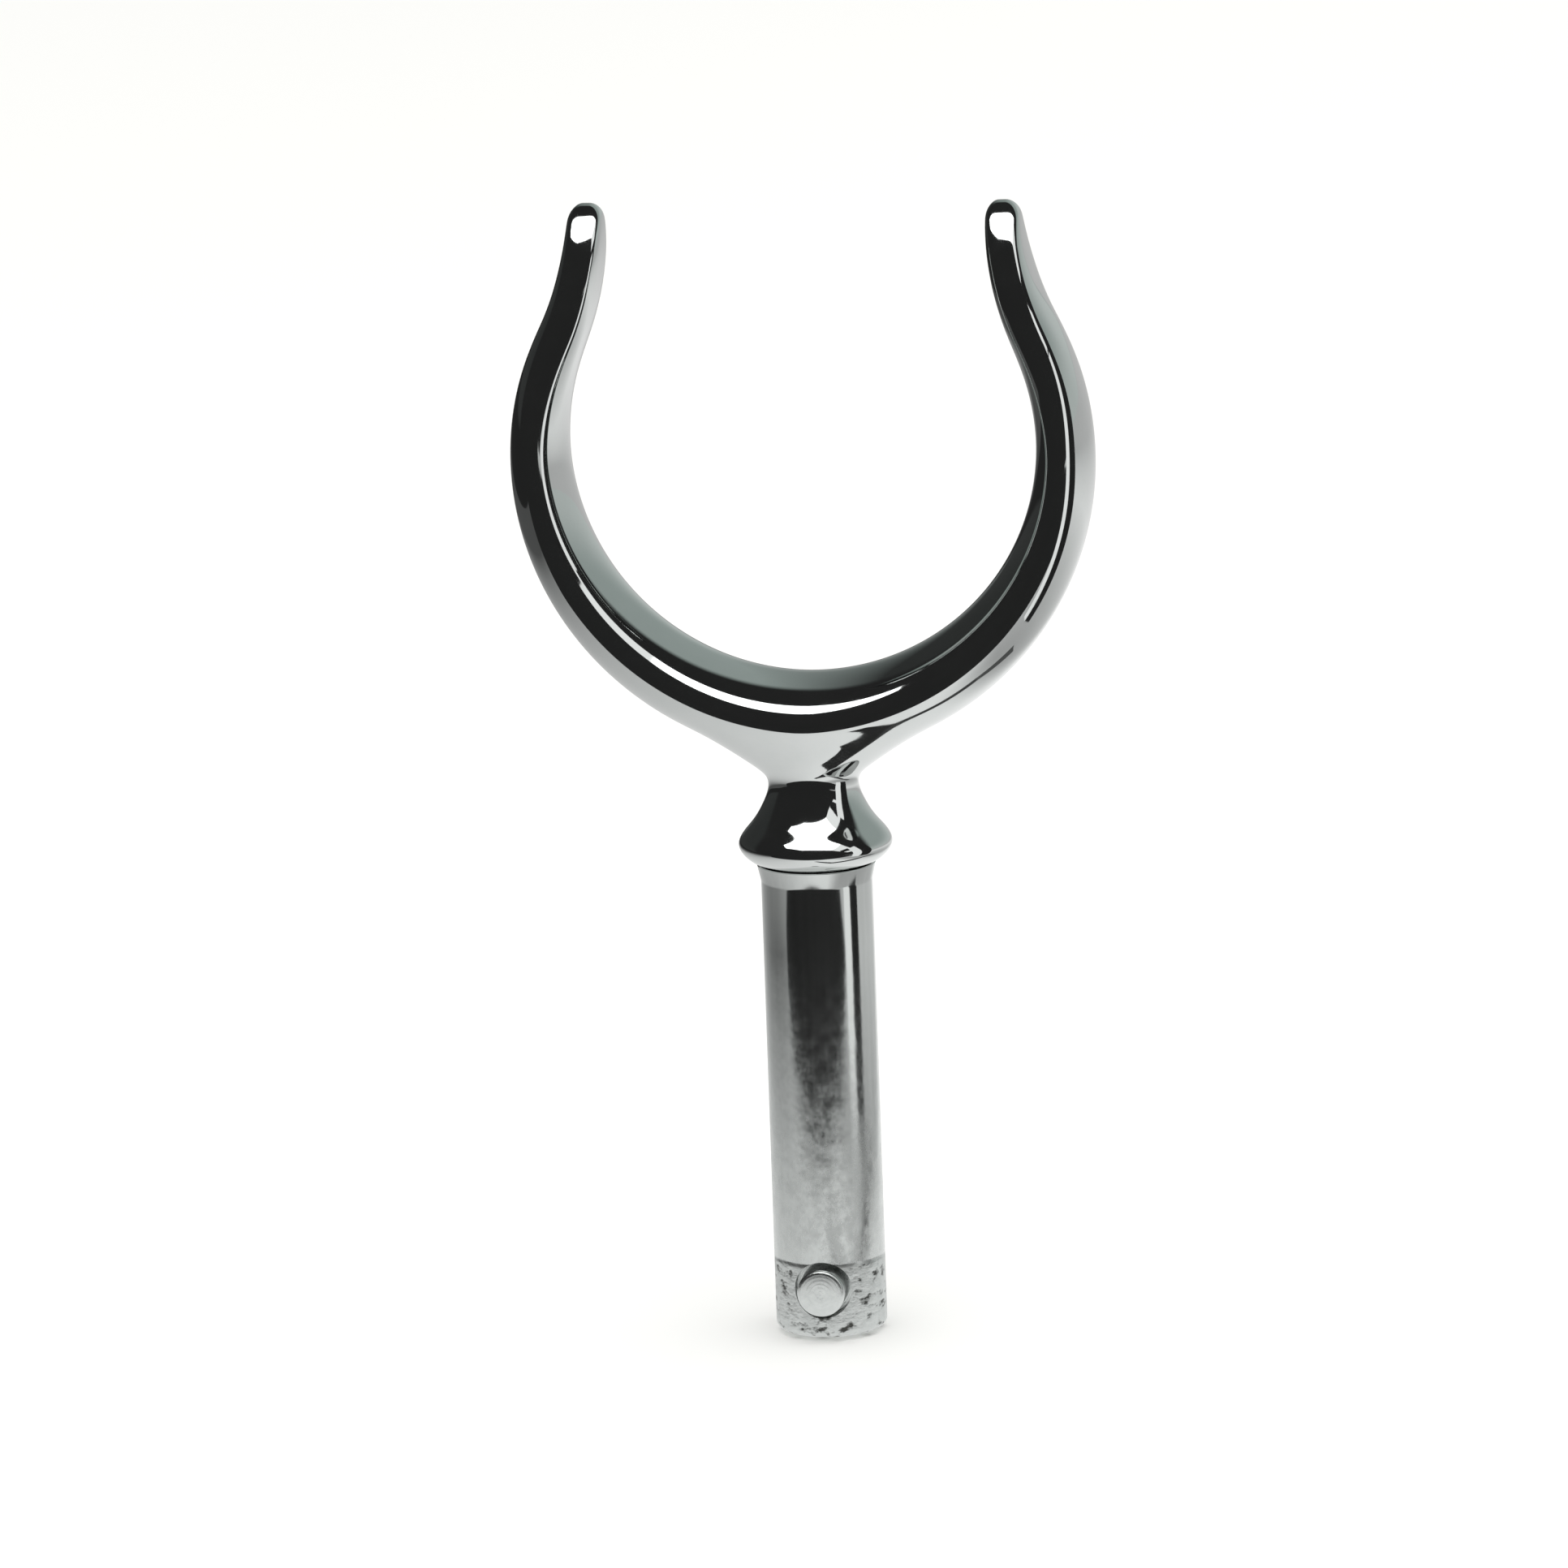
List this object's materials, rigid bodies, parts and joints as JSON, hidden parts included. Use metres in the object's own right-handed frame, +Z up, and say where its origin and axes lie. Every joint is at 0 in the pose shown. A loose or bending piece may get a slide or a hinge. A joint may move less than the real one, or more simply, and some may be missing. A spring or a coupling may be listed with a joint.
{
  "type": "oarlock horn",
  "caption": "Forked oarlock horn with a round bowl, upright arms, a flared collar and a plain round shank that has a sprung keeper button near its end.",
  "frame": {"origin": "on the shank's axis, level with the flat seat under the collar, where the horn sits on its socket", "axes": "+Z up along the shank towards the fork's tips, X across the fork, Y along the oar; the keeper button faces -Y"},
  "size_m": [0.0664, 0.0174, 0.1306],
  "materials": {
    "polished_chrome": "mirror polished chrome plate on a casting",
    "dull_plated_shank": "dull streaky plate, rough at the shank's end",
    "pin_steel": "smooth turned steel",
    "spring_wire": "drawn spring wire",
    "plug_steel": "plain turned steel"
  },
  "bodies": {
    "horn": {"horn_casting": "polished_chrome", "shank": "dull_plated_shank", "keeper_spring": "spring_wire", "keeper_plug": "plug_steel"},
    "keeper": {"keeper_button": "pin_steel"}
  },
  "joints": [
    {"name": "keeper_press", "type": "slide", "parent": "horn", "child": "keeper", "axis": [0, 1, 0], "range_m": [0, 0.0016], "stiffness_N_per_m": 2000, "springref_m": -0.001, "deforming": ["keeper_spring"]}
  ]
}
